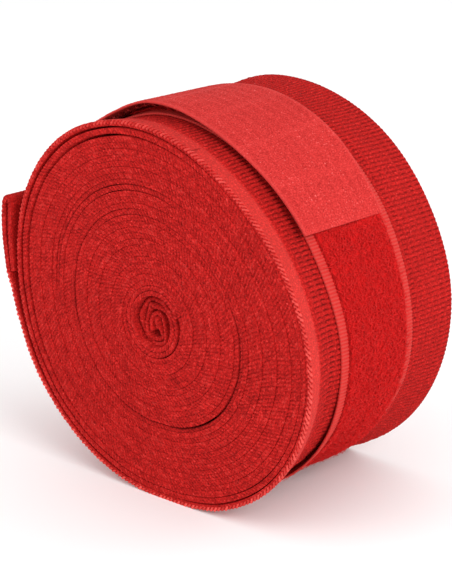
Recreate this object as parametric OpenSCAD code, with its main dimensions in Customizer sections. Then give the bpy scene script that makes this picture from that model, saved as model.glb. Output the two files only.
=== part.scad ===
// Hand wrap: a long cotton webbing wound round its thumb loop and closed with a hook tape.
// The roll stands on its rim. X is to the right and Z up in the coil's plane, and the roll's axis is along Y.
// The origin is on the surface that the roll stands on, below its axis, halfway across the webbing.

/* [Webbing] */
// Width of the webbing
web_w = 50; // [45:1:60]
// Thickness of the webbing as it lies in the roll
web_t = 1.1; // [0.9:0.05:1.1]
// Gap between one turn and the next
turn_gap = 0.1; // [0.08:0.01:0.12]

/* [Roll] */
// Mean outer radius of the roll
roll_r = 42; // [41:0.5:44]
// Height of the roll's axis above the surface
axis_h = 40.9; // [40.7:0.1:41.1]
// How far the roll is squeezed out of round
oval = 1.6; // [0:0.1:2]
// Height of the roll's three soft lobes
lobe = 0.5; // [0:0.1:0.8]
// How much further apart each loosened outer turn lies on the hem's side
loose_gap = 0.7; // [0.3:0.1:0.8]

/* [Closure] */
// Width of the hook tape
hook_w = 25; // [20:1:30]
// Thickness of the hook tape
hook_t = 1.1; // [0.8:0.1:1.2]
// Width of the loop tape
loop_w = 25; // [20:1:30]
// Thickness of the loop tape with its pile pressed down
loop_t = 1.3; // [1:0.1:1.5]
// Distance from the middle of the webbing to the middle of the hook tape, towards the back
hook_y = -5; // [-10:0.5:10]
// Distance from the middle of the webbing to the middle of the loop tape, towards the back
loop_y = -3; // [-10:0.5:10]

/* [Thumb loop] */
// Width of the band that forms the thumb loop
thumb_w = 46; // [30:1:50]

/* [Thread] */
// Thickness of the sewing thread
thread = 0.4; // [0.3:0.05:0.5]
// Length of one stitch as it shows on the surface
stitch = 2.2; // [1.5:0.1:2.4]

/* [Hidden] */

// Angles are in degrees, anticlockwise as seen from the front, from +X.
// A winding angle counts from the hem along the webbing, towards the core.
step = 8;                     // winding angle of one flat of the coil
bend = 2 * step;              // winding angle between two neighbouring bending lines
hem_angle = 184;              // where the outermost turn goes over into the hem
tail_segments = 4;
tail_end = tail_segments * bend;
core_end = 1238 * step;       // winding angle of the webbing's inner end
pitch = web_t + turn_gap;
loose_turns = 3;
cut_gap = 0.3;                // opening at each bending line

hook_start = 152;             // angle of the hook tape's first bending line
hook_segments = 7;
hook_end = 32;                // angle of the hook tape's free end
hook_lift = 0.3;              // clearance under the hook tape
loop_first = 112 + 360 - hem_angle;   // winding angle of the loop tape's end under the hook tape
loop_last = 296 - hem_angle;          // winding angle of its other end

// Middle of the hem's outer layer, from the last bending line up to the fold
hem_path = [[-41.95, -2.78], [-42.1, -1.6], [-43.5, 0.6], [-44.4, 3.4], [-45.0, 7], [-45.4, 11], [-45.0, 17]];
flap_first = 2;               // the folded-in flap and the hook tape begin beside these points
sewn_first = 3;
sewn_last = 5;

web_red = [0.76, 0.07, 0.07];
hook_red = [0.84, 0.15, 0.14];
loop_red = [0.68, 0.02, 0.03];
thread_red = [0.80, 0.10, 0.08];

// ---- the coil ----
function place(a) = hem_angle + a;
function polar(r, angle) = [r * cos(angle), r * sin(angle)];

// Departure of the roll's outline from a circle
function outline(angle) = oval * cos(2 * (angle + 38)) + lobe * cos(3 * (angle + 20));

// Loosened turns stand apart, most at the left and not at all at the right
function slack(a) = loose_gap * min(a / 360, loose_turns) * (1 - cos(place(a))) / 2;

// Radius of the webbing's outer face before the roll is pressed flat where it stands
function round_r(a) = roll_r + pitch / 2 - pitch * a / 360 - slack(a)
    + outline(place(a)) * max(0, 1 - a / core_end);

// The weight presses a flat on every turn, deepest on the outermost, which stands on the surface
first_bottom = 270 - hem_angle;
flat_depth = round_r(first_bottom) - axis_h;
function bottom_of_turn(a) = first_bottom + 360 * round((a - first_bottom) / 360);
function flat_h(a) = let (bottom = bottom_of_turn(a))
    round_r(bottom) - flat_depth * (1 - (bottom - first_bottom) / core_end);

function pressed(r, h, angle) = sin(angle) < -0.2 ? min(r, h / -sin(angle)) : r;
function web_outer(a) = pressed(round_r(a), flat_h(a), place(a));
function web_inner(a) = pressed(round_r(a) - web_t, flat_h(a) - web_t, place(a));

// Outline of the webbing from winding angle a0 to a1
function web_strip(a0, a1) = concat(
    [for (a = stations(a0, a1)) polar(web_outer(a), place(a))],
    [for (a = reversed(stations(a0, a1))) polar(web_inner(a), place(a))]);
function stations(a0, a1) = concat([a0],
    [for (i = [floor(a0 / step) + 1 : ceil(a1 / step) - 1]) i * step], [a1]);
function reversed(list) = [for (i = [len(list) - 1 : -1 : 0]) list[i]];

// Shortens a segment by half the cut gap at each bending line
cut_angle = cut_gap / 2 / roll_r * 180 / PI;

// ---- strips along a free path ----
function unit(v) = v / norm(v);
function side(v) = [-v[1], v[0]];
function path_dir(path, i) = unit(path[min(i + 1, len(path) - 1)] - path[max(i - 1, 0)]);
function shifted(path, d) = [for (i = [0 : len(path) - 1]) path[i] + d * side(path_dir(path, i))];
function strip(path, t) = concat(shifted(path, t / 2), reversed(shifted(path, -t / 2)));
function part_of(path, first, last) = [for (i = [first : last]) path[i]];

// ---- the closure ----
// The hook tape climbs over the loop tape's end between two stations
function over_loop(angle) = angle <= 120 ? 1 : angle >= 136 ? 0 : 0.5;
function hook_inner(angle) = web_outer(angle - hem_angle + 360) + hook_lift
    + over_loop(angle) * (loop_t + 0.1);
function hook_strip(from, to) = concat(
    [for (g = angles_down(from, to)) polar(hook_inner(g) + hook_t, g)],
    [for (g = reversed(angles_down(from, to))) polar(hook_inner(g), g)]);
function angles_down(from, to) = concat([from],
    [for (i = [ceil(from / step) - 1 : -1 : floor(to / step) + 1]) i * step], [to]);

// Sweeps an outline in the coil's plane along the roll's axis, with its middle at y
module across(width, y = 0) {
    translate([0, y + width / 2, axis_h]) rotate([90, 0, 0]) linear_extrude(width) children();
}

// One stitch: a bar on the outer face at the middle of the line from p to q, and the leg that goes
// down through the layers at one end. Outwards is to the left of p to q.
module one_stitch(p, q, at, y, depth, crosswise = false) {
    dir = unit(q - p);
    spot = p + (q - p) * at;
    bar = crosswise ? [thread, stitch] : [stitch, thread];
    translate([spot[0], y, axis_h + spot[1]]) rotate([0, -atan2(dir[1], dir[0]), 0]) union() {
        translate([-bar[0] / 2, -bar[1] / 2, 0.1 - thread]) cube([bar[0], bar[1], thread]);
        translate([-thread / 2, -thread / 2, -depth]) cube([thread, thread, depth - thread / 2]);
    }
}

module webbing_roll() {
    color(web_red) across(web_w) polygon(web_strip(tail_end + cut_angle, core_end));
}

// A piece of the outermost turn between two bending lines, counted from the roll
module tail(number) {
    far = tail_end - number * bend;
    color(web_red) across(web_w)
        polygon(web_strip(far + cut_angle, far + bend - cut_angle));
}

// The webbing's end: it goes up, turns over at the top and comes back inside
hem_gap = 0.15;
fold_offset = web_t + hem_gap;
function fold_arc(top, dir) = [for (g = [30 : 30 : 150])
    top - side(dir) * fold_offset / 2 * (1 - cos(g)) + dir * fold_offset / 2 * sin(g)];

module webbing_hem() {
    last = len(hem_path) - 1;
    inside = shifted(hem_path, -fold_offset);
    path = concat(hem_path, fold_arc(hem_path[last], path_dir(hem_path, last)),
        reversed(part_of(inside, flap_first, last)));
    color(web_red) across(web_w) polygon(strip(path, web_t));
}

// The part of the hook tape that is sewn behind the hem, up to the first bending line
module hook_tape_base() {
    behind = -(fold_offset + web_t / 2 + hem_gap + hook_t / 2);
    sewn = part_of(shifted(hem_path, behind), sewn_first, sewn_last);
    end_place = hook_start + cut_angle;
    end_middle = polar(hook_inner(end_place) + hook_t / 2, end_place);
    path = concat(sewn, [end_middle + side(unit(end_middle)) * 3, end_middle]);
    color(hook_red) across(hook_w, hook_y) polygon(strip(path, hook_t));
}

module hook_tape(number) {
    from = hook_start - (number - 1) * bend;
    to = number == hook_segments ? hook_end : from - bend + cut_angle;
    color(hook_red) across(hook_w, hook_y) polygon(hook_strip(from - cut_angle, to));
}

module loop_tape() {
    a = stations(loop_last, loop_first);
    color(loop_red) across(loop_w, loop_y) polygon(concat(
        [for (s = a) polar(web_outer(s) + loop_t, place(s))],
        [for (s = reversed(a)) polar(web_outer(s), place(s))]));
}

module stitch_loop_tape() {
    inset = 1.5;
    face = function(a) polar(web_outer(a) + loop_t, place(a));
    depth = loop_t + web_t - 0.1;
    color(thread_red) {
        for (a = [loop_last : step : loop_first - step], at = [0.25, 0.75], end = [-1, 1])
            one_stitch(face(a + step), face(a), at, loop_y + end * (loop_w / 2 - inset), depth);
        for (y = [-2 : 2])
            one_stitch(face(loop_last + step), face(loop_last), 0.8, loop_y + y * 4, depth, true);
    }
}

module stitch_hem() {
    outer = shifted(hem_path, web_t / 2);
    depth = 2 * fold_offset + hook_t;
    color(thread_red) {
        for (i = [sewn_first, sewn_first + 1], at = [0.28, 0.86], end = [-1, 1])
            one_stitch(outer[i], outer[i + 1], at, hook_y + end * (hook_w / 2 - 2), depth);
        for (i = [sewn_first, sewn_first + 1], y = [-2.5 : 2.5])
            one_stitch(outer[i], outer[i + 1], i == sewn_first ? 0.2 : 0.8, hook_y + y * 3.4, depth, true);
    }
}

// ---- the thumb loop: a band folded flat and wound up first ----
core = [loose_gap * loose_turns / 2, 0];
loop_start = -56;             // it is sewn to this much of the webbing's inner end
loop_turn_end = 600;
double_pitch = 2 * web_t + 0.5;
end_place = place(core_end);
function thumb_r(b) = web_inner(core_end) - core[0] * cos(end_place) - 0.1 - web_t / 2
    - (b < 0 ? pitch : double_pitch) * b / 360;
function thumb_pt(b, inward) = core + polar(thumb_r(b) - inward, end_place + b);

module thumb_loop() {
    stops = [for (b = [loop_start : step * 2 : loop_turn_end]) b];
    last = stops[len(stops) - 1];
    outer_layer = [for (b = stops) thumb_pt(b, 0)];
    inner_layer = [for (b = reversed(stops)) thumb_pt(b, pitch)];
    out = unit(thumb_pt(last, 0) - thumb_pt(last, pitch));
    middle = thumb_pt(last, pitch / 2);
    fold = [for (g = [45, 90, 135]) middle + pitch / 2 * (out * cos(g) + side(out) * sin(g))];
    color(web_red) across(thumb_w) polygon(strip(concat(outer_layer, fold, inner_layer), web_t));
}

module stitch_thumb_loop() {
    face = function(b) polar(web_outer(core_end + b), end_place + b);
    depth = web_t * 3 + 0.1;
    color(thread_red) for (b = [-16, -40], y = [-14 : 4 : 14])
        one_stitch(face(b + step), face(b), 0.5, y, depth);
}

webbing_roll();
thumb_loop();
loop_tape();
stitch_loop_tape();
stitch_thumb_loop();
tail(1);  // webbing_tail_1
tail(2);  // webbing_tail_2
tail(3);  // webbing_tail_3
tail(4);  // webbing_tail_4
webbing_hem();
hook_tape_base();
stitch_hem();
hook_tape(1);  // hook_tape_1
hook_tape(2);  // hook_tape_2
hook_tape(3);  // hook_tape_3
hook_tape(4);  // hook_tape_4
hook_tape(5);  // hook_tape_5
hook_tape(6);  // hook_tape_6
hook_tape(7);  // hook_tape_7
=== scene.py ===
import math

import bpy
import numpy as np
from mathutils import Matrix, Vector

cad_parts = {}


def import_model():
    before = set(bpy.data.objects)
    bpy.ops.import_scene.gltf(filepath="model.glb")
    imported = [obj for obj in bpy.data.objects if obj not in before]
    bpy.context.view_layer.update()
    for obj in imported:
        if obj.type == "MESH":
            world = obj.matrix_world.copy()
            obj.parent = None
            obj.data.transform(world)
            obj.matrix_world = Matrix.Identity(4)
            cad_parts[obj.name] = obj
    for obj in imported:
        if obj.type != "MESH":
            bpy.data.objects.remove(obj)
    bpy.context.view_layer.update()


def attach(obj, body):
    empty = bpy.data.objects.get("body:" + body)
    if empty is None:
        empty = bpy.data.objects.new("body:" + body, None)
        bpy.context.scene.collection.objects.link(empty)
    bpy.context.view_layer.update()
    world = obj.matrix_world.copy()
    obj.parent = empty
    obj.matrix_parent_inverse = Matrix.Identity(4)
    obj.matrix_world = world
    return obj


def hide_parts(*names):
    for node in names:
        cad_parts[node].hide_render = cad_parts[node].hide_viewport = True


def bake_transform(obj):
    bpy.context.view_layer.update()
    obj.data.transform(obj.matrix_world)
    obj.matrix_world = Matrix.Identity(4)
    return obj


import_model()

chance = np.random.default_rng(7)

# ---- sizes in millimetres, as the CAD has them ----
MM = 0.001
WEB_W, WEB_T = 50.0, 1.1
HALF = WEB_W / 2
PITCH = 1.2                       # from one turn to the next
ROLL_R = 42.0
AXIS_H = 40.9                     # height of the roll's axis
LOOSE_GAP, LOOSE_TURNS = 0.7, 3
HEM_ANGLE = 184.0                 # where the outermost turn goes over into the hem
# Winding angles are in degrees, 0 where the hem begins, and they grow inwards
STEP = 8.0                        # winding angle of one step of the CAD's webbing
BEND = 2 * STEP                   # between two bending lines
CORE_END = 1238 * STEP            # the webbing's inner end
TAIL_SEGMENTS = 4
ROOT_FROM = TAIL_SEGMENTS * BEND + STEP       # the roll keeps still from here inwards
HOOK_START, HOOK_END, HOOK_SEGMENTS = 152.0, 32.0, 7      # the first two are angles round the roll
HOOK_W, HOOK_Y = 25.0, -5.0
LOOP_W, LOOP_Y = 25.0, -3.0
LOOP_FROM, LOOP_TO = 112.0, 288.0     # winding angles of the loop tape's two ends

# ---- the weave ----
PER_CELL = 4                      # mesh steps across one cell of the weave
ROW = BEND / 11                   # winding angle of one row of the weave
ROW_MM = 1.066                    # length of one row on the outermost turn
COLUMN = 1.2                      # width of one woven rib
STITCH = 0.95                     # length of one selvedge stitch
WEAVE_H = 0.38                    # height of a rib over its ground
SMOOTH_BAND = 3.9                 # plain band beside the front selvedge

# ---- dark rings on the roll's faces, where two turns stand a little apart and shade is painted into the gap ----
INNER_RING, OUTER_RING = 14.3, 10.3           # in turns from the outside
RING_W = 0.4

# The next five lists, and the outer side of HEM_LINE, go back to places measured on the photo with
# scratch scripts: report.md says how.
# ---- how far the roll is out of round, in mm over its angle: front rim, back rim, under the tapes ----
FRONT_ROUND = ((0, 1.9), (20, -0.9), (40, -3.1), (55, -3.5), (75, -2.4), (105, 0.5), (125, 2.1), (150, 2.2),
               (180, -0.1), (210, -1.3), (260, -1.6), (280, -0.6), (300, 1.7), (320, 3.5), (340, 3.5))
BACK_ROUND = ((0, -0.2), (40, -0.8), (70, 0.3), (90, 1.5), (110, 3.0), (130, 3.0), (160, 1.5), (200, 0.4),
              (300, 0.8), (340, 0.4))
TAPE_ROUND = ((0, -0.4), (60, 0.9), (80, 0.4), (100, -0.6), (112, -1.5), (130, -1.0), (150, 0.0),
              (230, 0.0), (270, -0.7), (300, -2.3), (330, -1.6))
# ---- radius of the hook tape's outer face at its front and back edges ----
HOOK_FRONT = ((28, 43.0), (45, 41.9), (60, 41.4), (70, 41.7), (80, 42.5), (90, 43.6), (100, 44.3),
              (115, 43.6), (130, 43.5), (156, 44.9))
HOOK_BACK = ((28, 42.5), (40, 42.7), (60, 43.9), (80, 44.4), (110, 44.2), (140, 44.2), (156, 44.9))
# ---- middle lines of the hem's folded webbing and of the tape sewn into it, as x and z from the axis ----
HEM_LINE = ((-44.05, 0.8), (-44.6, 4.0), (-45.1, 8.0), (-45.25, 12.0), (-44.95, 16.0), (-44.6, 17.3),
            (-43.85, 17.9), (-43.1, 17.2), (-43.0, 15.8), (-43.3, 12.0), (-43.25, 8.0), (-42.95, 4.0),
            (-42.6, 1.2))
SEWN_LINE = ((-41.85, 4.4), (-42.2, 8.0), (-42.35, 12.0), (-42.15, 15.2), (-41.6, 17.6))
# ---- the crumpled middle of the thumb loop, as x and z from the core's centre ----
CRUMPLE = ((-4.2, 0.3), (-2.9, -3.0), (-0.6, -4.0), (1.8, -3.0), (1.5, -1.6), (0.9, 0.0), (0.3, 1.5),
           (-0.9, 1.6), (-1.5, 0.2), (-1.0, -1.1))
CORE = (1.2, -2.3)                # the core's centre from the roll's axis


def smooth(x, low, high):
    """Goes softly from 0 at low to 1 at high."""
    t = np.clip((x - low) / (high - low), 0, 1)
    return t * t * (3 - 2 * t)


def cosd(x):
    return np.cos(np.radians(x))


def sind(x):
    return np.sin(np.radians(x))


def hashed(i, j):
    """A fixed scatter from 0 to 1 for a cell of a pattern."""
    return np.modf(np.abs(np.sin(i * 12.9898 + j * 78.233) * 43758.5453))[0]


def through(knots, x, closed=False):
    """A smooth curve through values at given places."""
    at, value = np.array(knots, float).T
    if closed:
        at, value, x = np.concatenate([at - 360, at, at + 360]), np.tile(value, 3), np.mod(x, 360)
    slope = np.gradient(value, at)
    i = np.clip(np.searchsorted(at, x, side="right") - 1, 0, len(at) - 2)
    h = at[i + 1] - at[i]
    t = np.clip((x - at[i]) / h, 0, 1)
    return ((1 + 2 * t) * (1 - t) ** 2 * value[i] + t * (1 - t) ** 2 * h * slope[i]
            + t * t * (3 - 2 * t) * value[i + 1] - t * t * (1 - t) * h * slope[i + 1])


# ---- the coil ----
def place(a):
    """The angle round the roll of a winding angle."""
    return HEM_ANGLE + a


def outline(angle, y):
    """How far the roll is out of round: its front rim, its middle and its back rim differ."""
    front, back = through(FRONT_ROUND, angle, True), through(BACK_ROUND, angle, True)
    middle = smooth(y, -HALF, -17) * (1 - smooth(y, 11, HALF))
    return front + (back - front) * (y + HALF) / WEB_W + through(TAPE_ROUND, angle, True) * middle


def round_r(a, y):
    """Radius of the webbing's outer face, before it is pressed flat where it stands."""
    n, angle = a / 360, place(a)
    inward = a / CORE_END
    slack = LOOSE_GAP * np.clip(n, 0, LOOSE_TURNS) * (1 - cosd(angle)) / 2
    drift = (0.1 * cosd(angle) - 1.8 * sind(angle)) * inward
    waist = 0.45 * np.exp(-((y + 17) / 3) ** 2) * smooth(cosd(angle - 40), -0.2, 0.5)
    waist = waist + 1.7 * np.exp(-((y + 6) / 5.5) ** 2) * smooth(cosd(angle - 306), 0.85, 0.99)
    ripple = 0.12 * np.sin(0.055 * a + 0.21 * y) + 0.1 * np.sin(0.13 * a - 0.17 * y + 1.3)
    outer = np.clip(1.5 - n, 0, 1)
    return (ROLL_R + PITCH / 2 - PITCH * n - slack + outline(angle, y) * np.clip(1 - inward, 0, 1)
            + drift + (ripple - waist) * outer)


def web_outer(a, y):
    """Radius of the webbing's outer face, pressed flat where the roll stands."""
    first = 270 - HEM_ANGLE
    bottom = first + 360 * np.round((a - first) / 360)
    flat = AXIS_H - np.maximum(round_r(first, y) - round_r(bottom, y), 0)
    down = -sind(place(a))
    r = round_r(a, y)
    return np.where(down > 0.2, np.minimum(r, flat / np.maximum(down, 0.2)), r)


def groove(a):
    """Where two turns stand a little apart on the roll's faces."""
    n, angle = a / 360, place(a)
    upper_left = smooth(cosd(angle - 128), 0.45, 0.75)
    two_sides = smooth(cosd(2 * (angle - 150)), -0.3, 0.4)
    ring = np.exp(-((n - INNER_RING) / RING_W) ** 2) * (0.3 + 0.3 * two_sides)
    return ring + np.exp(-((n - OUTER_RING) / RING_W) ** 2) * upper_left


def web_thickness(a, y):
    """The turns fill their room, and where they are loose they still touch in the middle of their width."""
    room = web_outer(a, y) - web_outer(a + 360, y)
    at_edge = smooth(np.abs(y), 9, 20)
    most = WEB_T + 0.08 + 0.5 * smooth(a / 360, 1.6, 3.4) + 1.5 * (1 - at_edge)
    return np.minimum(most, room - 0.01 - 0.75 * groove(a) * at_edge)


def polar(r, angle):
    """Places in the coil's plane, as x and z from its axis."""
    r, angle = np.broadcast_arrays(r, angle)
    return np.stack([r * cosd(angle), r * sind(angle)], -1)


def world(flat, y):
    """Rows of x, y, z in metres, from places in the coil's plane."""
    y = np.broadcast_to(y, flat.shape[:-1])
    return np.stack([flat[..., 0], y, flat[..., 1] + AXIS_H], -1) * MM


def ridge(phase, power=0.8):
    """A row of rounded ridges with sharp valleys, one to each unit of phase."""
    return np.abs(np.cos(np.pi * phase)) ** power


def weave(row, y):
    """Height of the rib weave over its ground, from 0 to 1."""
    col = y / COLUMN
    c = np.floor(col + 0.5)
    across = np.abs(col - c) * 2
    r = row + 0.08 * np.mod(c, 2) + 0.05 * hashed(c, 1)
    k = np.floor(r + 0.5)
    along = np.abs(r - k) * 2
    cell = (1 - along ** 2.4) * (1 - 0.4 * across ** 4)
    return cell * (0.8 + 0.4 * hashed(c, k))


def relief(row, y):
    """Height in mm of the webbing's outer face over its mean, and how much shade is painted into a place, 0
    to 1: most in the weave's gaps, and more in the valley beside the tape.
    """
    band = smooth(y, -HALF + SMOOTH_BAND - 0.5, -HALF + SMOOTH_BAND + 0.5)
    plain = 0.05 * np.cos(2 * np.pi * row) + 0.2
    woven = weave(row, y)
    # painted shade in the gaps of the weave, weighted most in the valley beside the tape, where the tape
    # shades the webbing
    shade_weight = 0.68 + 0.32 * np.exp(-((y + 17.5) / 4) ** 2)
    painted_shade = (1 - np.clip(woven * 1.4, 0, 1)) * band * shade_weight
    return (WEAVE_H * woven - 0.25) * band + (plain - 0.2) * (1 - band), painted_shade


# ---- meshes ----
def mesh_piece(name, verts, faces, material, values=None):
    mesh = bpy.data.meshes.new(name)
    verts = np.asarray(verts, np.float32)
    faces = np.asarray(faces, np.int32)
    mesh.vertices.add(len(verts))
    mesh.vertices.foreach_set("co", verts.ravel())
    mesh.loops.add(faces.size)
    mesh.loops.foreach_set("vertex_index", faces.ravel())
    mesh.polygons.add(len(faces))
    mesh.polygons.foreach_set("loop_start", np.arange(len(faces), dtype=np.int32) * faces.shape[1])
    mesh.update(calc_edges=True)
    mesh.polygons.foreach_set("use_smooth", np.ones(len(faces), bool))
    if values is not None:
        layer = mesh.attributes.new("tint", "FLOAT", "POINT")
        layer.data.foreach_set("value", np.asarray(values, np.float32).ravel())
    obj = bpy.data.objects.new(name, mesh)
    bpy.context.scene.collection.objects.link(obj)
    mesh.materials.append(material)
    return obj


def tube_faces(rows, cols):
    """Faces of a closed skin over rows of rings, its two ends closed flat."""
    i, j = np.meshgrid(np.arange(rows - 1), np.arange(cols), indexing="ij")
    k = (j + 1) % cols
    side = np.stack([i * cols + j, (i + 1) * cols + j, (i + 1) * cols + k, i * cols + k], -1).reshape(-1, 4)
    j = np.arange(cols // 2 - 1)
    cap = np.stack([j, j + 1, cols - 2 - j, cols - 1 - j], -1)
    return np.concatenate([side, cap, cap[:, ::-1] + (rows - 1) * cols])


def outward(points, faces):
    """The faces turned so that a closed skin's normals point outwards."""
    a, b, c = (points[faces[:, k]] for k in (0, 1, 2))
    d = points[faces[:, 3]]
    volume = (a * np.cross(b, c)).sum() + (a * np.cross(c, d)).sum()
    return faces if volume > 0 else faces[:, ::-1]


def tongue(end, before):
    """A ring just past a piece's last one and a hair smaller, to lie under the next piece's skin."""
    normal = np.cross(np.roll(end, -1, 0) - np.roll(end, 1, 0), end - before)
    normal /= np.linalg.norm(normal, axis=1, keepdims=True) + 1e-12
    outwards = np.sign(((end - end.mean(0)) * normal).sum())
    return end + 0.6 * (end - before) - 0.02 * MM * outwards * normal


def tube(rings):
    """Points and faces of a closed skin over rings."""
    rings = np.concatenate([tongue(rings[0], rings[1])[None], rings, tongue(rings[-1], rings[-2])[None]])
    points = rings.reshape(-1, 3)
    return points, outward(points - points.mean(0), tube_faces(*rings.shape[:2]))


def ends_twice(values):
    """A skin's values with those of its end rings repeated, for the tongues."""
    return np.concatenate([values[:1], values, values[-1:]]).ravel()


def tube_piece(name, rings, material, tint):
    points, faces = tube(rings)
    return mesh_piece(name, points, faces, material, ends_twice(np.broadcast_to(tint, rings.shape[:2])))


def threads(centres, radius, sides=4):
    """Points and faces of many short threads, from centre lines as (threads, stations, 3) in metres."""
    count, stations = centres.shape[:2]
    along = np.gradient(centres, axis=1)
    along /= np.linalg.norm(along, axis=2, keepdims=True) + 1e-12
    across = np.cross(along, np.array([0.31, 0.94, 0.12]))
    across /= np.linalg.norm(across, axis=2, keepdims=True) + 1e-12
    third = np.cross(along, across)
    turn = 2 * np.pi * np.arange(sides) / sides
    ring = across[:, :, None] * np.cos(turn)[:, None] + third[:, :, None] * np.sin(turn)[:, None]
    width = np.broadcast_to(radius, (count, stations))[:, :, None, None] * MM
    points = (centres[:, :, None] + ring * width).reshape(-1, 3)
    one = tube_faces(stations, sides)[:, ::-1]
    faces = (one[None] + (np.arange(count) * stations * sides)[:, None, None]).reshape(-1, 4)
    return points, faces


def joined(parts):
    """One set of points and faces from several."""
    points, faces, base = [], [], 0
    for p, f in parts:
        points.append(p)
        faces.append(f + base)
        base += len(p)
    return np.concatenate(points), np.concatenate(faces)


# ---- the webbing's cross-section ----
EDGE_V = np.array([-1.0, -0.8, -0.4, 0.0, 0.4, 0.8, 1.0])
CORNER = 0.3                      # from the edge to the first place on a face
HIDDEN_Y = 9.0                    # a face that can't be seen has one place on either side of its middle
PLAIN_STEP = (WEB_W - 2 * CORNER) / 10


def web_profile(outer_step, inner_step):
    """The places round the webbing's cross-section, as y, height v from -1 to 1, and which side."""
    def row(step):
        if not step:
            return np.array([-HIDDEN_Y, HIDDEN_Y])
        return np.linspace(-HALF + CORNER, HALF - CORNER, int(round((WEB_W - 2 * CORNER) / step)) + 1)
    outer, inner, edge = row(outer_step), row(inner_step), len(EDGE_V)
    y = np.concatenate([np.full(edge, -HALF), outer, np.full(edge, HALF), inner[::-1]])
    v = np.concatenate([EDGE_V, np.ones(len(outer)), -EDGE_V, -np.ones(len(inner))])
    side = np.concatenate([np.full(edge, -1), np.zeros(len(outer)), np.full(edge, 1), np.zeros(len(inner))])
    return y, v, side


def edge_stitch(row, v, side, gap=0.0):
    """How far the selvedge's stitches lie in from its edge, and their tint: a random tone for each stitch,
    darkened by painted shade between the stitches, at the edge's corners and in the gap where two turns
    stand apart.
    """
    slant = row + 0.42 * np.abs(v) * np.where(v > 0, 1, -1) * side
    stitch = np.floor(slant + 0.5)
    size = 0.3 + 1.0 * hashed(stitch, 3 + side)
    link = ridge(slant)
    depth = 0.03 * v ** 4 - 0.3 * (link - 0.6) * size + 0.4 * gap
    # painted shade between the stitches, at the edge's corners and in the gap where two turns stand apart
    stitch_shade = np.clip(0.42 * (1 - link) * size + 0.04 * v ** 4 + 0.8 * gap * np.abs(v), 0, 1)
    return depth, 0.32 * (hashed(stitch, 8 + np.sign(v)) - 0.4) - stitch_shade


def web_skin(row, profile, thick, outermost, gap=0.0, lean=0.0):
    """For stations down and the profile along: offsets from the webbing's middle line, places across it,
    and a tint: above 0 where the cotton is lighter, from its random tone and from painted sheen and painted
    light, and below 0 where shade is painted into the hollows."""
    y, v, side = profile
    edge = side != 0
    depth, edge_tint = edge_stitch(row, v, side, gap)
    yy = y - side * depth + lean * (np.abs(y) / HALF) ** 4
    on_rim = ((v > -0.1) & (y < -HALF + 0.5)) * outermost
    strand = row + 0.6 * v
    twist = ridge(strand + 0.5 * (y + HALF), 0.7) * (0.65 + 0.6 * hashed(np.floor(strand + 0.5), 4))
    rim = np.where((v > 0) & (y < -HALF + 0.7), 0.32 * (twist - 0.45), 0) * outermost
    height, painted_shade = relief(row, y)
    bump = np.where(edge, 0, height)
    # painted sheen: the plain band beside the front selvedge of the outer turn is tinted lighter, a pinkish
    # haze
    band = 0.3 * (1 - smooth(y, -HALF + SMOOTH_BAND - 1, -HALF + SMOOTH_BAND)) * (v > 0) * outermost
    tint = np.where(edge, edge_tint, band - painted_shade)
    # on the outer turn's rim: painted light on the cord's strands and painted shade in the gaps between
    # them
    tint = tint * (1 - on_rim) + on_rim * (1.35 * twist - 0.5)
    return thick * v / 2 + np.where(v > 0, bump, -0.4 * bump) + rim, yy, tint


FINE = COLUMN / PER_CELL


def turn_piece(name, a0, a1, material):
    """A stretch of the outermost turn, with its weave."""
    a = (a0 + np.arange(int(round((a1 - a0) / ROW * PER_CELL)) + 1) * ROW / PER_CELL)[:, None]
    profile = web_profile(FINE, PLAIN_STEP)
    thick = web_thickness(a, profile[0])
    off, y, tint = web_skin(a / ROW, profile, thick, np.clip(1.3 - a / 360, 0, 1))
    r = web_outer(a, profile[0]) - thick / 2 + off
    return tube_piece(name, world(polar(r, place(a)), y), material, tint)


def coil_piece(name, a0, a1, material):
    """A stretch of the inner turns, which show only their two edges, and its length in mm."""
    fine = np.linspace(a0, a1, 20000)
    s = np.concatenate([[0], np.cumsum(np.diff(fine) * np.pi / 180 * web_outer(fine[1:], -HALF))])
    a = np.append(np.interp(np.arange(0, s[-1], STITCH / PER_CELL), s, fine), a1)[:, None]
    row = np.arange(len(a))[:, None] / PER_CELL
    profile = web_profile(0, 0)
    thick = web_thickness(a, profile[0])
    n = a / 360
    lean = 0.12 * np.sin(2.1 * n + 0.7) + 0.05 * np.sin(0.31 * a + 1.7 * np.floor(n))
    # groove(a) opens a gap where turns stand apart, and shade is painted into that gap
    off, y, tint = web_skin(row, profile, thick, 0, groove(a), lean)
    r = web_outer(a, profile[0]) - thick / 2 + off
    return tube_piece(name, world(polar(r, place(a)), y), material, tint), s[-1]


def curve(points, t):
    """Places on a smooth curve through rows of points, at t counted in rows."""
    i = np.clip(np.floor(t).astype(int), 0, len(points) - 2)
    f = (t - i).reshape((-1,) + (1,) * (points.ndim - 1))
    p0, p1, p2, p3 = (points[np.clip(i + k, 0, len(points) - 1)] for k in (-1, 0, 1, 2))
    return 0.5 * (2 * p1 + (p2 - p0) * f + (2 * p0 - 5 * p1 + 4 * p2 - p3) * f ** 2
                  + (3 * p1 - p0 - 3 * p2 + p3) * f ** 3)


def even(points, step, start=0.0):
    """The curve through rows of points, at even steps of its mean line's length, and that length."""
    t = np.linspace(start, len(points) - 1, 4000)
    dense = curve(points, t)
    line = dense.mean(1) if dense.ndim == 3 else dense
    s = np.concatenate([[0], np.cumsum(np.linalg.norm(np.diff(line, axis=0), axis=1))])
    count = int(round(s[-1] / step))
    return curve(points, np.interp(np.linspace(0, s[-1], count + 1), s, t)), s[-1]


def left_of(path):
    """Unit normals on the left of a path, seen from the front."""
    along = np.gradient(path, axis=0)
    along /= np.linalg.norm(along, axis=-1, keepdims=True)
    return np.stack([-along[..., 1], along[..., 0]], -1)


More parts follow.
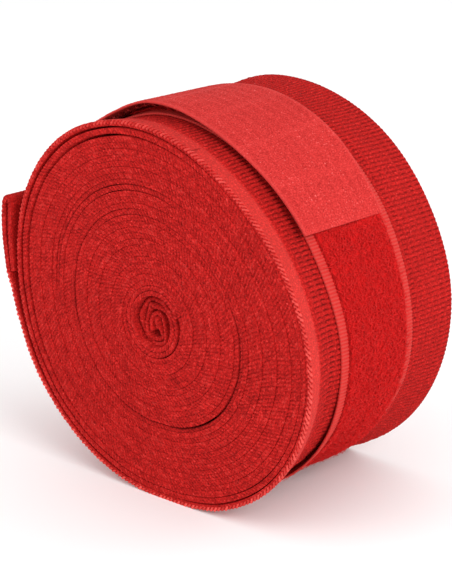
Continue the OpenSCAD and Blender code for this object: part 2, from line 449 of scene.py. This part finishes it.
# ---- materials ----
FUZZ, FUZZ_H = 0.35, 0.0003       # strength of the cotton's bump, and its height in metres
HOLLOW_SHADE = 0.22               # the painted shade in the hollows, as a share of the dark colour


def fabric(name, dark, light, tinted, scale=2600, rough=0.95, sheen=0.0, glint=None):
    """Cotton with noise from a dark to a light colour, and painted glints where the noise is highest if a
    glint colour is given:
    tinted where the mesh's tint is above 0, and painted with shade where it is below."""
    material = bpy.data.materials.new(name)
    material.use_nodes = True
    tree = material.node_tree
    tree.nodes.clear()
    link = tree.links.new

    def node(kind, **inputs):
        made = tree.nodes.new(kind)
        for key, value in inputs.items():
            made.inputs[key.replace("_", " ")].default_value = value
        return made

    shader = node("ShaderNodeBsdfPrincipled", Roughness=rough, Specular_IOR_Level=0.12, Sheen_Weight=sheen,
                  Sheen_Roughness=0.5, Sheen_Tint=(1.0, 0.35, 0.3, 1))
    link(shader.outputs[0], node("ShaderNodeOutputMaterial").inputs[0])
    coords = node("ShaderNodeTexCoord")
    coarse = node("ShaderNodeTexNoise", Scale=110, Detail=3)
    fine = node("ShaderNodeTexNoise", Scale=scale, Detail=4, Roughness=0.7)
    for texture in (coarse, fine):
        link(coords.outputs["Object"], texture.inputs["Vector"])
    soft = node("ShaderNodeMath")
    soft.operation = "MULTIPLY"
    link(coarse.outputs[0], soft.inputs[0])
    soft.inputs[1].default_value = 0.06
    both = node("ShaderNodeMath")
    both.operation = "MULTIPLY_ADD"
    link(fine.outputs[0], both.inputs[0])
    both.inputs[1].default_value = 0.94
    link(soft.outputs[0], both.inputs[2])
    ramp = node("ShaderNodeValToRGB")
    for element, position, colour in zip(ramp.color_ramp.elements, (0.37, 0.63), (dark, light)):
        element.position = position
        element.color = (*colour, 1)
    if glint:
        ramp.color_ramp.elements.new(0.7).color = (*glint, 1)
    link(both.outputs[0], ramp.inputs[0])
    tint = node("ShaderNodeAttribute")
    tint.attribute_name = "tint"
    mix = node("ShaderNodeMix")
    mix.data_type = "RGBA"
    link(tint.outputs["Fac"], mix.inputs[0])
    link(ramp.outputs[0], mix.inputs[6])
    mix.inputs[7].default_value = (*tinted, 1)
    under = node("ShaderNodeMath")
    under.operation = "MULTIPLY"
    link(tint.outputs["Fac"], under.inputs[0])
    under.inputs[1].default_value = -1
    # painted shade: mixes towards a share of the dark colour where the tint is below 0
    painted_shade = node("ShaderNodeMix")
    painted_shade.data_type = "RGBA"
    link(under.outputs[0], painted_shade.inputs[0])
    link(mix.outputs[2], painted_shade.inputs[6])
    painted_shade.inputs[7].default_value = (*(HOLLOW_SHADE * c for c in dark), 1)
    link(painted_shade.outputs[2], shader.inputs["Base Color"])
    raised = node("ShaderNodeBump", Strength=FUZZ, Distance=FUZZ_H)
    link(fine.outputs[0], raised.inputs["Height"])
    link(raised.outputs[0], shader.inputs["Normal"])
    return material


# the glint colours are painted glints: bright specks where the cotton's noise is highest
WEBBING = fabric("webbing", (0.22, 0.004, 0.0035), (0.60, 0.014, 0.012), (0.80, 0.095, 0.080),
                 glint=(0.85, 0.10, 0.09))
HOOK_BACKING = fabric("hook_backing", (0.36, 0.014, 0.013), (0.68, 0.040, 0.037), (0.60, 0.05, 0.045), 2900,
                      sheen=0.06, glint=(0.9, 0.3, 0.28))
LOOP_BASE = fabric("loop_base", (0.46, 0.006, 0.006), (0.60, 0.009, 0.009), (0.52, 0.06, 0.05), 3000)
PILE = fabric("pile", (0.54, 0.007, 0.008), (0.72, 0.012, 0.012), (0.6, 0.02, 0.02), 1500, 0.8, 0.1)
THREAD = fabric("thread", (0.32, 0.006, 0.005), (0.50, 0.012, 0.010), (0.6, 0.05, 0.04), 4000)

# ---- the webbing: the roll ----
OUTER_BENDS = (11, 11.5)          # how many bends long the outermost turn's two pieces are
outer_mid = ROOT_FROM + OUTER_BENDS[0] * BEND
outer_end = ROOT_FROM + sum(OUTER_BENDS) * BEND
outer_1 = turn_piece("webbing_outer_1", ROOT_FROM, outer_mid, WEBBING)
outer_2 = turn_piece("webbing_outer_2", outer_mid, outer_end, WEBBING)
coil_ends = [outer_end, 2600.0, 5200.0, CORE_END]
coils = [coil_piece(f"webbing_coil_{i + 1}", a0, a1, WEBBING)
         for i, (a0, a1) in enumerate(zip(coil_ends, coil_ends[1:]))]
for piece in [outer_1, outer_2] + [c[0] for c in coils]:
    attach(piece, "roll")
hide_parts("webbing_roll")

# ---- the webbing: its tail and the folded hem ----
STATION = ROW / PER_CELL
tail_profile = web_profile(FINE, 2 * FINE)
tail_y = tail_profile[0]
swell = 0.9 - 0.6 * smooth(tail_y, -5, HALF)      # the end bulges outwards as it goes up into the hem


def tail_middle(a):
    return polar(web_outer(a, tail_y) - WEB_T / 2 + swell * (1 - smooth(a, -2, 14)), place(a))


tail_a = (ROOT_FROM - np.arange(int(round(ROOT_FROM / STATION)) + 1) * STATION)[:, None]
tail_path = tail_middle(tail_a)
hem_points = [np.broadcast_to(np.array(p), tail_path[0].shape) for p in HEM_LINE]
hem_control = np.stack([tail_middle(np.array([3.0])), tail_path[-1]] + hem_points)
hem_path, _ = even(hem_control, ROW_MM / PER_CELL, 1)
path = np.concatenate([tail_path, hem_path[1:]])
radial = path / np.linalg.norm(path, axis=-1, keepdims=True)
turned = smooth(np.arange(len(path)), 0, 40)[:, None, None]
normal = radial * (1 - turned) + left_of(path) * turned
path_row = -np.arange(len(path))[:, None] / PER_CELL + ROOT_FROM / ROW
in_sight = 1 - smooth(np.arange(len(path)), len(tail_path), len(tail_path) + 25)[:, None]
off, skin_y, skin_tint = web_skin(path_row, tail_profile, WEB_T, in_sight)
tail_rings = world(path + normal * off[..., None], skin_y)
HEM_FIRST = 22                                   # stations of the hem that still bend with the last joint
cuts = [int(round(k * BEND / STATION)) for k in range(TAIL_SEGMENTS + 1)]
cuts.append(len(tail_path) - 1 + HEM_FIRST)
for k, (i, j) in enumerate(zip(cuts, cuts[1:])):
    piece = tube_piece(f"webbing_bend_{k + 1}", tail_rings[i:j + 1], WEBBING, skin_tint[i:j + 1])
    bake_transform(piece)
    if k:
        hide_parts(f"webbing_tail_{k}")
hem = tube_piece("webbing_hem_fold", tail_rings[cuts[-1]:], WEBBING, skin_tint[cuts[-1]:])
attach(hem, "hem")
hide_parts("webbing_hem")

# ---- the loop tape, sewn on the roll ----
LOOP_RIB = 0.75
SELVEDGE = 2.5
LOOP_STEP = 0.1875


def loop_middle(a):
    """The tape wanders a little towards the back on its way down."""
    return LOOP_Y - 0.1 + 2.0 * (1 - smooth(sind(place(a)), -0.5, 0.5)) * smooth(cosd(place(a)), 0, 0.5)


def loop_top(a, y, row):
    """Height over the webbing of the tape's face, at y from its middle."""
    pile = 1 - smooth(np.abs(y), LOOP_W / 2 - SELVEDGE - 0.3, LOOP_W / 2 - SELVEDGE + 0.1)
    ribs = 0.5 + 0.08 * np.cos(2 * np.pi * row * LOOP_STEP / LOOP_RIB)
    tufts = 0.9 + 0.16 * (hashed(np.round(row), np.round(y / 0.3)) - 0.5)
    lift = 0.9 * smooth(-y, 7, LOOP_W / 2) * smooth(-sind(place(a)), 0.1, 0.6)
    return ribs + (tufts - ribs) * pile + lift, lift


loop_mean_r = 42.3
loop_rows = int(round((LOOP_TO - LOOP_FROM) * np.pi / 180 * loop_mean_r / LOOP_STEP))
loop_a = np.linspace(LOOP_FROM, LOOP_TO, loop_rows + 1)[:, None]
loop_row = np.arange(loop_rows + 1)[:, None]
LOOP_COLUMNS = 64
loop_across = np.linspace(-LOOP_W / 2, LOOP_W / 2, LOOP_COLUMNS)
loop_y = np.concatenate([loop_across, loop_across[::-1]])[None, :]
on_top = np.concatenate([np.ones(LOOP_COLUMNS), np.zeros(LOOP_COLUMNS)])[None, :]
top, lift = loop_top(loop_a, loop_y, loop_row)
loop_place = loop_middle(loop_a) + loop_y
loop_r = web_outer(loop_a, loop_place) + np.where(on_top > 0, top, 0.12 + lift)
beside = np.abs(loop_y) - LOOP_W / 2 + SELVEDGE
crossing = 0.5 + 0.5 * np.cos(2 * np.pi * loop_row * LOOP_STEP / LOOP_RIB)
# the selvedges' tint: lighter on the cross ribs as painted light on their crests, and a line of painted
# shade where the selvedge meets the pile
selvedge = smooth(beside, 0.2, 0.5) * (0.25 + 0.6 * crossing) - 0.8 * np.exp(-((beside - 0.15) / 0.22) ** 2)
loop_skin = world(polar(loop_r, place(loop_a)), loop_place)
loop_tape = tube_piece("loop_tape_base", loop_skin, LOOP_BASE, selvedge)
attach(loop_tape, "roll")
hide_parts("loop_tape")

PILE_COUNT = 15000
PILE_STATIONS = ((-0.15, 0), (0.6, 0.35), (1.0, 1.0), (0.55, 1.7))   # how high a fibre is, and how far over
PILE_RADII = (0.08, 0.08, 0.06, 0.03)
pile_a = chance.uniform(LOOP_FROM + 1, LOOP_TO - 1, PILE_COUNT)
pile_y = chance.uniform(-1, 1, PILE_COUNT) * (LOOP_W / 2 - SELVEDGE - 0.1)
lean_a, lean_y = chance.normal(0, 0.6, (2, PILE_COUNT))
stray = chance.random(PILE_COUNT) > 0.9
tall = chance.uniform(0.3, 0.5, PILE_COUNT) + chance.uniform(0.2, 0.6, PILE_COUNT) * stray
under_hook = smooth(place(pile_a), 384, 394)
pile_lift = loop_top(pile_a, pile_y, 0)[1]
stations = []
for up, over in PILE_STATIONS:
    a = pile_a + np.degrees(lean_a * over / loop_mean_r)
    y = loop_middle(pile_a) + pile_y + lean_y * over
    r = web_outer(pile_a, y) + 0.9 + pile_lift + tall * up * (1 - 0.75 * under_hook)
    stations.append(world(polar(r, place(a)), y))
thin = np.where(stray, 0.45, 1)[:, None]
points, faces = threads(np.stack(stations, 1), np.array(PILE_RADII)[None, :] * thin)
pile = mesh_piece("loop_pile", points, faces, PILE)
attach(pile, "roll")

# ---- the hook tape ----
HOOK_STEP = 0.28
HOOK_BACK_T = 0.5
HOOK_COLUMNS = 90
hook_across = np.linspace(-HOOK_W / 2, HOOK_W / 2, HOOK_COLUMNS)
hook_y = np.concatenate([hook_across, hook_across[::-1]])
hook_share = (hook_y + HOOK_W / 2) / HOOK_W
hook_angles = np.arange(HOOK_START, HOOK_END - 0.5, -4.0)[:, None]
hook_r = (through(HOOK_FRONT, hook_angles) * (1 - hook_share) + through(HOOK_BACK, hook_angles) * hook_share
          - HOOK_BACK_T / 2)
hook_control = np.concatenate([
    np.stack([np.broadcast_to(np.array(p), (len(hook_y), 2)) for p in SEWN_LINE]),
    polar(hook_r, hook_angles)])
hook_path, _ = even(hook_control, HOOK_STEP)
hook_normal = left_of(hook_path)
hook_row = np.arange(len(hook_path))[:, None]
hook_place = np.degrees(np.arctan2(hook_path.mean(1)[:, 1], hook_path.mean(1)[:, 0]))
hook_stops = [158.0] + [HOOK_START - STEP - BEND * k for k in range(HOOK_SEGMENTS)]
hook_cuts = [0] + [int(np.argmin(np.abs(hook_place - stop))) for stop in hook_stops] + [len(hook_path) - 1]
to_cut = np.min(np.abs(hook_row - np.array(hook_cuts)), axis=1, keepdims=True)
knit = 0.08 * smooth(to_cut, 1, 4) * (np.cos(np.pi * hook_row) * np.cos(2 * np.pi * hook_y / 0.62)
                                      + 1.4 * (hashed(hook_row, np.round(hook_y / 0.28)) - 0.5))
hook_top = np.concatenate([np.ones(HOOK_COLUMNS), np.zeros(HOOK_COLUMNS)])
hook_off = np.where(hook_top > 0, HOOK_BACK_T / 2 + knit, -HOOK_BACK_T / 2)
hook_skin = world(hook_path + hook_normal * hook_off[..., None], HOOK_Y + hook_y + 0 * hook_row)
hook_edge = smooth(np.abs(hook_y), HOOK_W / 2 - 0.7, HOOK_W / 2 - 0.3) + 0 * hook_row
HOOK_PITCH = (1.5, 1.25)


def hook_rows(i, j):
    """The small hooks under a stretch of the tape."""
    at = np.arange(i + 2, j - 1, int(round(HOOK_PITCH[0] / HOOK_STEP)))
    spots = np.arange(-HOOK_W / 2 + 1.2, HOOK_W / 2 - 1, HOOK_PITCH[1])
    lines = []
    for m in at:
        shift = 0.5 * HOOK_PITCH[1] * (m % 2)
        column = np.argmin(np.abs(hook_across[:, None] - spots[None, :]), axis=0)
        root, out = hook_path[m][column], hook_normal[m][column]
        ahead = np.stack([out[:, 1], -out[:, 0]], -1)
        y = HOOK_Y + spots + shift
        lines.append(np.stack([
            world(root - out * (HOOK_BACK_T / 2 - 0.1), y), world(root - out * 0.75, y),
            world(root - out * 0.98 + ahead * 0.12, y), world(root - out * 0.98 + ahead * 0.36, y),
            world(root - out * 0.72 + ahead * 0.46, y)], 1))
    return threads(np.concatenate(lines), 0.07)


hook_bodies = ["hem"] + [f"hook_{k}" for k in range(1, HOOK_SEGMENTS + 1)]
last = len(hook_cuts) - 2         # the tape's free end, past its last bending line
for k, (i, j) in enumerate(zip(hook_cuts, hook_cuts[1:])):
    rings = hook_skin[i:j + 1]
    points, faces = joined([tube(rings)] + ([hook_rows(i, j)] if k else []))
    tint = ends_twice(hook_edge[i:j + 1]) * 0.5
    tint = np.concatenate([tint, np.zeros(len(points) - len(tint))])
    name = "hook_tape_sewn" if k == 0 else f"hook_tape_bend_{k}" if k < last else "hook_tape_end"
    piece = mesh_piece(name, points, faces, HOOK_BACKING, tint)
    if 0 < k < last:
        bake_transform(piece)
    else:
        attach(piece, hook_bodies[0] if k == 0 else hook_bodies[-1])
    if k < last:
        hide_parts("hook_tape_base" if k == 0 else f"hook_tape_{k}")

# ---- the thumb loop in the core ----
LOOP_BAND = 48.0
THUMB_STEP = 0.3
core_y = np.concatenate([np.full(5, -LOOP_BAND / 2), [-12, 0, 12], np.full(5, LOOP_BAND / 2), [12, 0, -12]])
core_v = np.concatenate([np.linspace(-1, 1, 5), np.ones(3), np.linspace(1, -1, 5), -np.ones(3)])
core_side = np.where(np.abs(core_y) > 12, np.sign(core_y), 0)
at_edge = smooth(np.abs(core_y), 6, 22)           # the crumpled middle opens towards its two ends
wound = np.arange(0, 500, 12.0)
last_place = place(CORE_END)
last_r = float(web_outer(np.array(CORE_END), -HALF)) - WEB_T
wind_r = web_outer(CORE_END + wound - 360, -HALF) - 2.45 - 1.2 * smooth(wound, 320, 400)
wind_r = wind_r + 0.2 * sind(4 * wound) * smooth(wound, 330, 400)
wind_r = wind_r[:, None] - 1.6 * np.exp(-((wound - 380) / 50) ** 2)[:, None] * at_edge
spiral = polar(wind_r, last_place + wound[:, None])
crumple = np.array(CRUMPLE)[:, None] + np.array(CORE) + (1 - at_edge)[:, None] * np.array([0.9, 0.7])
loop_line = np.concatenate([spiral, crumple])
thumb_path, thumb_length = even(loop_line, THUMB_STEP)
thumb_normal = left_of(thumb_path)
thumb_row = np.arange(len(thumb_path))[:, None] * THUMB_STEP / STITCH
for k, shift in enumerate((0.58, -0.58)):
    depth, tint = edge_stitch(thumb_row + 7.3 * k, core_v, core_side)
    loose = smooth(thumb_row, 38, 50)
    sag = (0.9 * np.abs(np.sin(0.31 * thumb_row + 1.5 * k)) - 0.3) * loose - 0.9 * (1 - loose)
    y = core_y - core_side * (depth + 0.35 * core_v ** 2 * loose) + sag * (core_side < 0)
    off = shift + 0.53 * core_v + 0 * thumb_row
    rings = world(thumb_path + thumb_normal * off[..., None], y)
    piece = tube_piece(f"thumb_loop_layer_{k + 1}", rings, WEBBING, tint)
    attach(piece, "roll")
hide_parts("thumb_loop")

# ---- the seams ----
SEAM_PITCH, SEAM_STITCH, BAR_STITCH = 3.05, 1.7, 1.8
BAR = np.arange(-4, 5)            # the stitches of a bar across a tape, counted from its middle


def stitches(base, ahead, up, length, radius=0.19):
    """Short arched threads from their middles, directions along the seam and directions outwards."""
    t = np.linspace(-1, 1, 7)[None, :, None]
    rise = 1.2 * radius * (1 - t ** 4) - 0.25 * np.abs(t) ** 4
    return threads(base[:, None] + (ahead[:, None] * t * length / 2 + up[:, None] * rise) * MM, radius, 6)


def bar(flat, y, up):
    """A row of stitches across the webbing, at one place of the coil's plane."""
    return stitches(world(flat, y), np.tile([0.0, 1, 0], (len(y), 1)), np.tile(up, (len(y), 1)), BAR_STITCH)


seam_a = np.arange(LOOP_FROM + 2, LOOP_TO - 1, SEAM_PITCH)
parts = []
for side in (-1, 1):
    y = loop_middle(seam_a) + side * (LOOP_W / 2 - SELVEDGE + 0.15)
    r = web_outer(seam_a, y) + 0.42 + loop_top(seam_a, side * (LOOP_W / 2 - 1.5), 0)[1]
    up = np.stack([cosd(place(seam_a)), 0 * seam_a, sind(place(seam_a))], -1)
    ahead = np.stack([-up[:, 2], 0 * seam_a, up[:, 0]], -1)
    parts.append(stitches(world(polar(r, place(seam_a)), y), ahead, up, SEAM_STITCH, 0.12))
for end_a in (LOOP_FROM + 1.5, LOOP_TO - 1.5):
    y = loop_middle(end_a) + BAR * 2.5
    r = web_outer(end_a, y) + 0.85
    parts.append(bar(polar(r, place(end_a)), y, [cosd(place(end_a)), 0, sind(place(end_a))]))
points, faces = joined(parts)
loop_seam = mesh_piece("seam_loop_tape", points, faces, THREAD)
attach(loop_seam, "roll")
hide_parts("stitch_loop_tape")

# the box seam of the hem shows on the outer layer
hem_face = hem_path[:, 0] + left_of(hem_path)[:, 0] * (WEB_T / 2 + 0.12)
hem_out = left_of(hem_path)[:, 0]
span = hem_path[:, 0, 1]
low, high = (int(np.argmax(span > z)) for z in (4.5, 14.5))
parts = []
for side in (-1, 1):
    m = np.arange(low, high, 8)
    y = np.full(len(m), HOOK_Y + side * (HOOK_W / 2 - 2))
    up = np.stack([hem_out[m, 0], 0 * y, hem_out[m, 1]], -1)
    ahead = np.stack([up[:, 2], 0 * y, -up[:, 0]], -1)
    parts.append(stitches(world(hem_face[m], y), ahead, up, SEAM_STITCH))
for m in (low, high):
    flat = np.tile(hem_face[m], (len(BAR), 1))
    parts.append(bar(flat, HOOK_Y + BAR * 2.3, [hem_out[m, 0], 0, hem_out[m, 1]]))
points, faces = joined(parts)
hem_seam = mesh_piece("seam_hem", points, faces, THREAD)
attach(hem_seam, "hem")
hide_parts("stitch_hem")

# the seam that holds the thumb loop runs across the webbing's inner end
y = np.arange(-8, 9) * 2.4
seam_at = last_place - 9
points, faces = bar(polar(np.full(len(y), last_r + 0.1), seam_at), y, [-cosd(seam_at), 0, -sind(seam_at)])
core_seam = mesh_piece("seam_thumb_loop", points, faces, THREAD)
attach(core_seam, "roll")
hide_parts("stitch_thumb_loop")


# ---- camera, light and floor ----
ROOM_LIGHT, PAPER_WHITE, FLOOR_REACH = 0.95, 0.95, 3
CAM_AZ, CAM_EL, CAM_DIST, CAM_TARGET = 42.0, 17.2, 440.0, (-0.8, 0.0, AXIS_H - 0.9)
SENSOR, LENS = 36.0, 123.287671    # in mm, the sensor's long side being the picture's height
az, el = math.radians(CAM_AZ), math.radians(CAM_EL)
back = Vector((math.sin(az) * math.cos(el), -math.cos(az) * math.cos(el), math.sin(el)))
camera = bpy.data.objects.new("camera", bpy.data.cameras.new("camera"))
bpy.context.scene.collection.objects.link(camera)
camera.location = (Vector(CAM_TARGET) + back * CAM_DIST) * MM
camera.rotation_euler = back.to_track_quat("Z", "Y").to_euler()
camera.data.sensor_width = SENSOR
camera.data.lens = LENS
camera.data.clip_start = 0.01
bpy.context.scene.camera = camera


def area_light(name, where, size, watts):
    lamp = bpy.data.lights.new(name, "AREA")
    lamp.size, lamp.energy = size, watts
    obj = bpy.data.objects.new(name, lamp)
    bpy.context.scene.collection.objects.link(obj)
    obj.location = where
    obj.rotation_euler = (Vector(where) - Vector((0, 0, 0.04))).to_track_quat("Z", "Y").to_euler()


area_light("key", (0.75, -0.25, 0.42), 0.4, 3.6)
area_light("fill", (-0.5, -0.65, 0.25), 0.6, 2.4)
area_light("back", (0.5, 0.55, 0.45), 0.6, 1.2)
world_light = bpy.data.worlds.new("studio")
world_light.use_nodes = True
world_light.node_tree.nodes["Background"].inputs[0].default_value = (1, 1, 1, 1)
world_light.node_tree.nodes["Background"].inputs[1].default_value = ROOM_LIGHT
bpy.context.scene.world = world_light
bpy.context.scene.view_settings.view_transform = "Standard"

floor_mesh = bpy.data.meshes.new("floor")
corners = [(x * FLOOR_REACH, y * FLOOR_REACH, 0) for x, y in ((-1, -1), (1, -1), (1, 1), (-1, 1))]
floor_mesh.from_pydata(corners, [], [(0, 1, 2, 3)])
floor = bpy.data.objects.new("floor", floor_mesh)
bpy.context.scene.collection.objects.link(floor)
paper = bpy.data.materials.new("paper")
paper.use_nodes = True
paper.node_tree.nodes["Principled BSDF"].inputs["Base Color"].default_value = (*[PAPER_WHITE] * 3, 1)
paper.node_tree.nodes["Principled BSDF"].inputs["Roughness"].default_value = 0.9
floor_mesh.materials.append(paper)
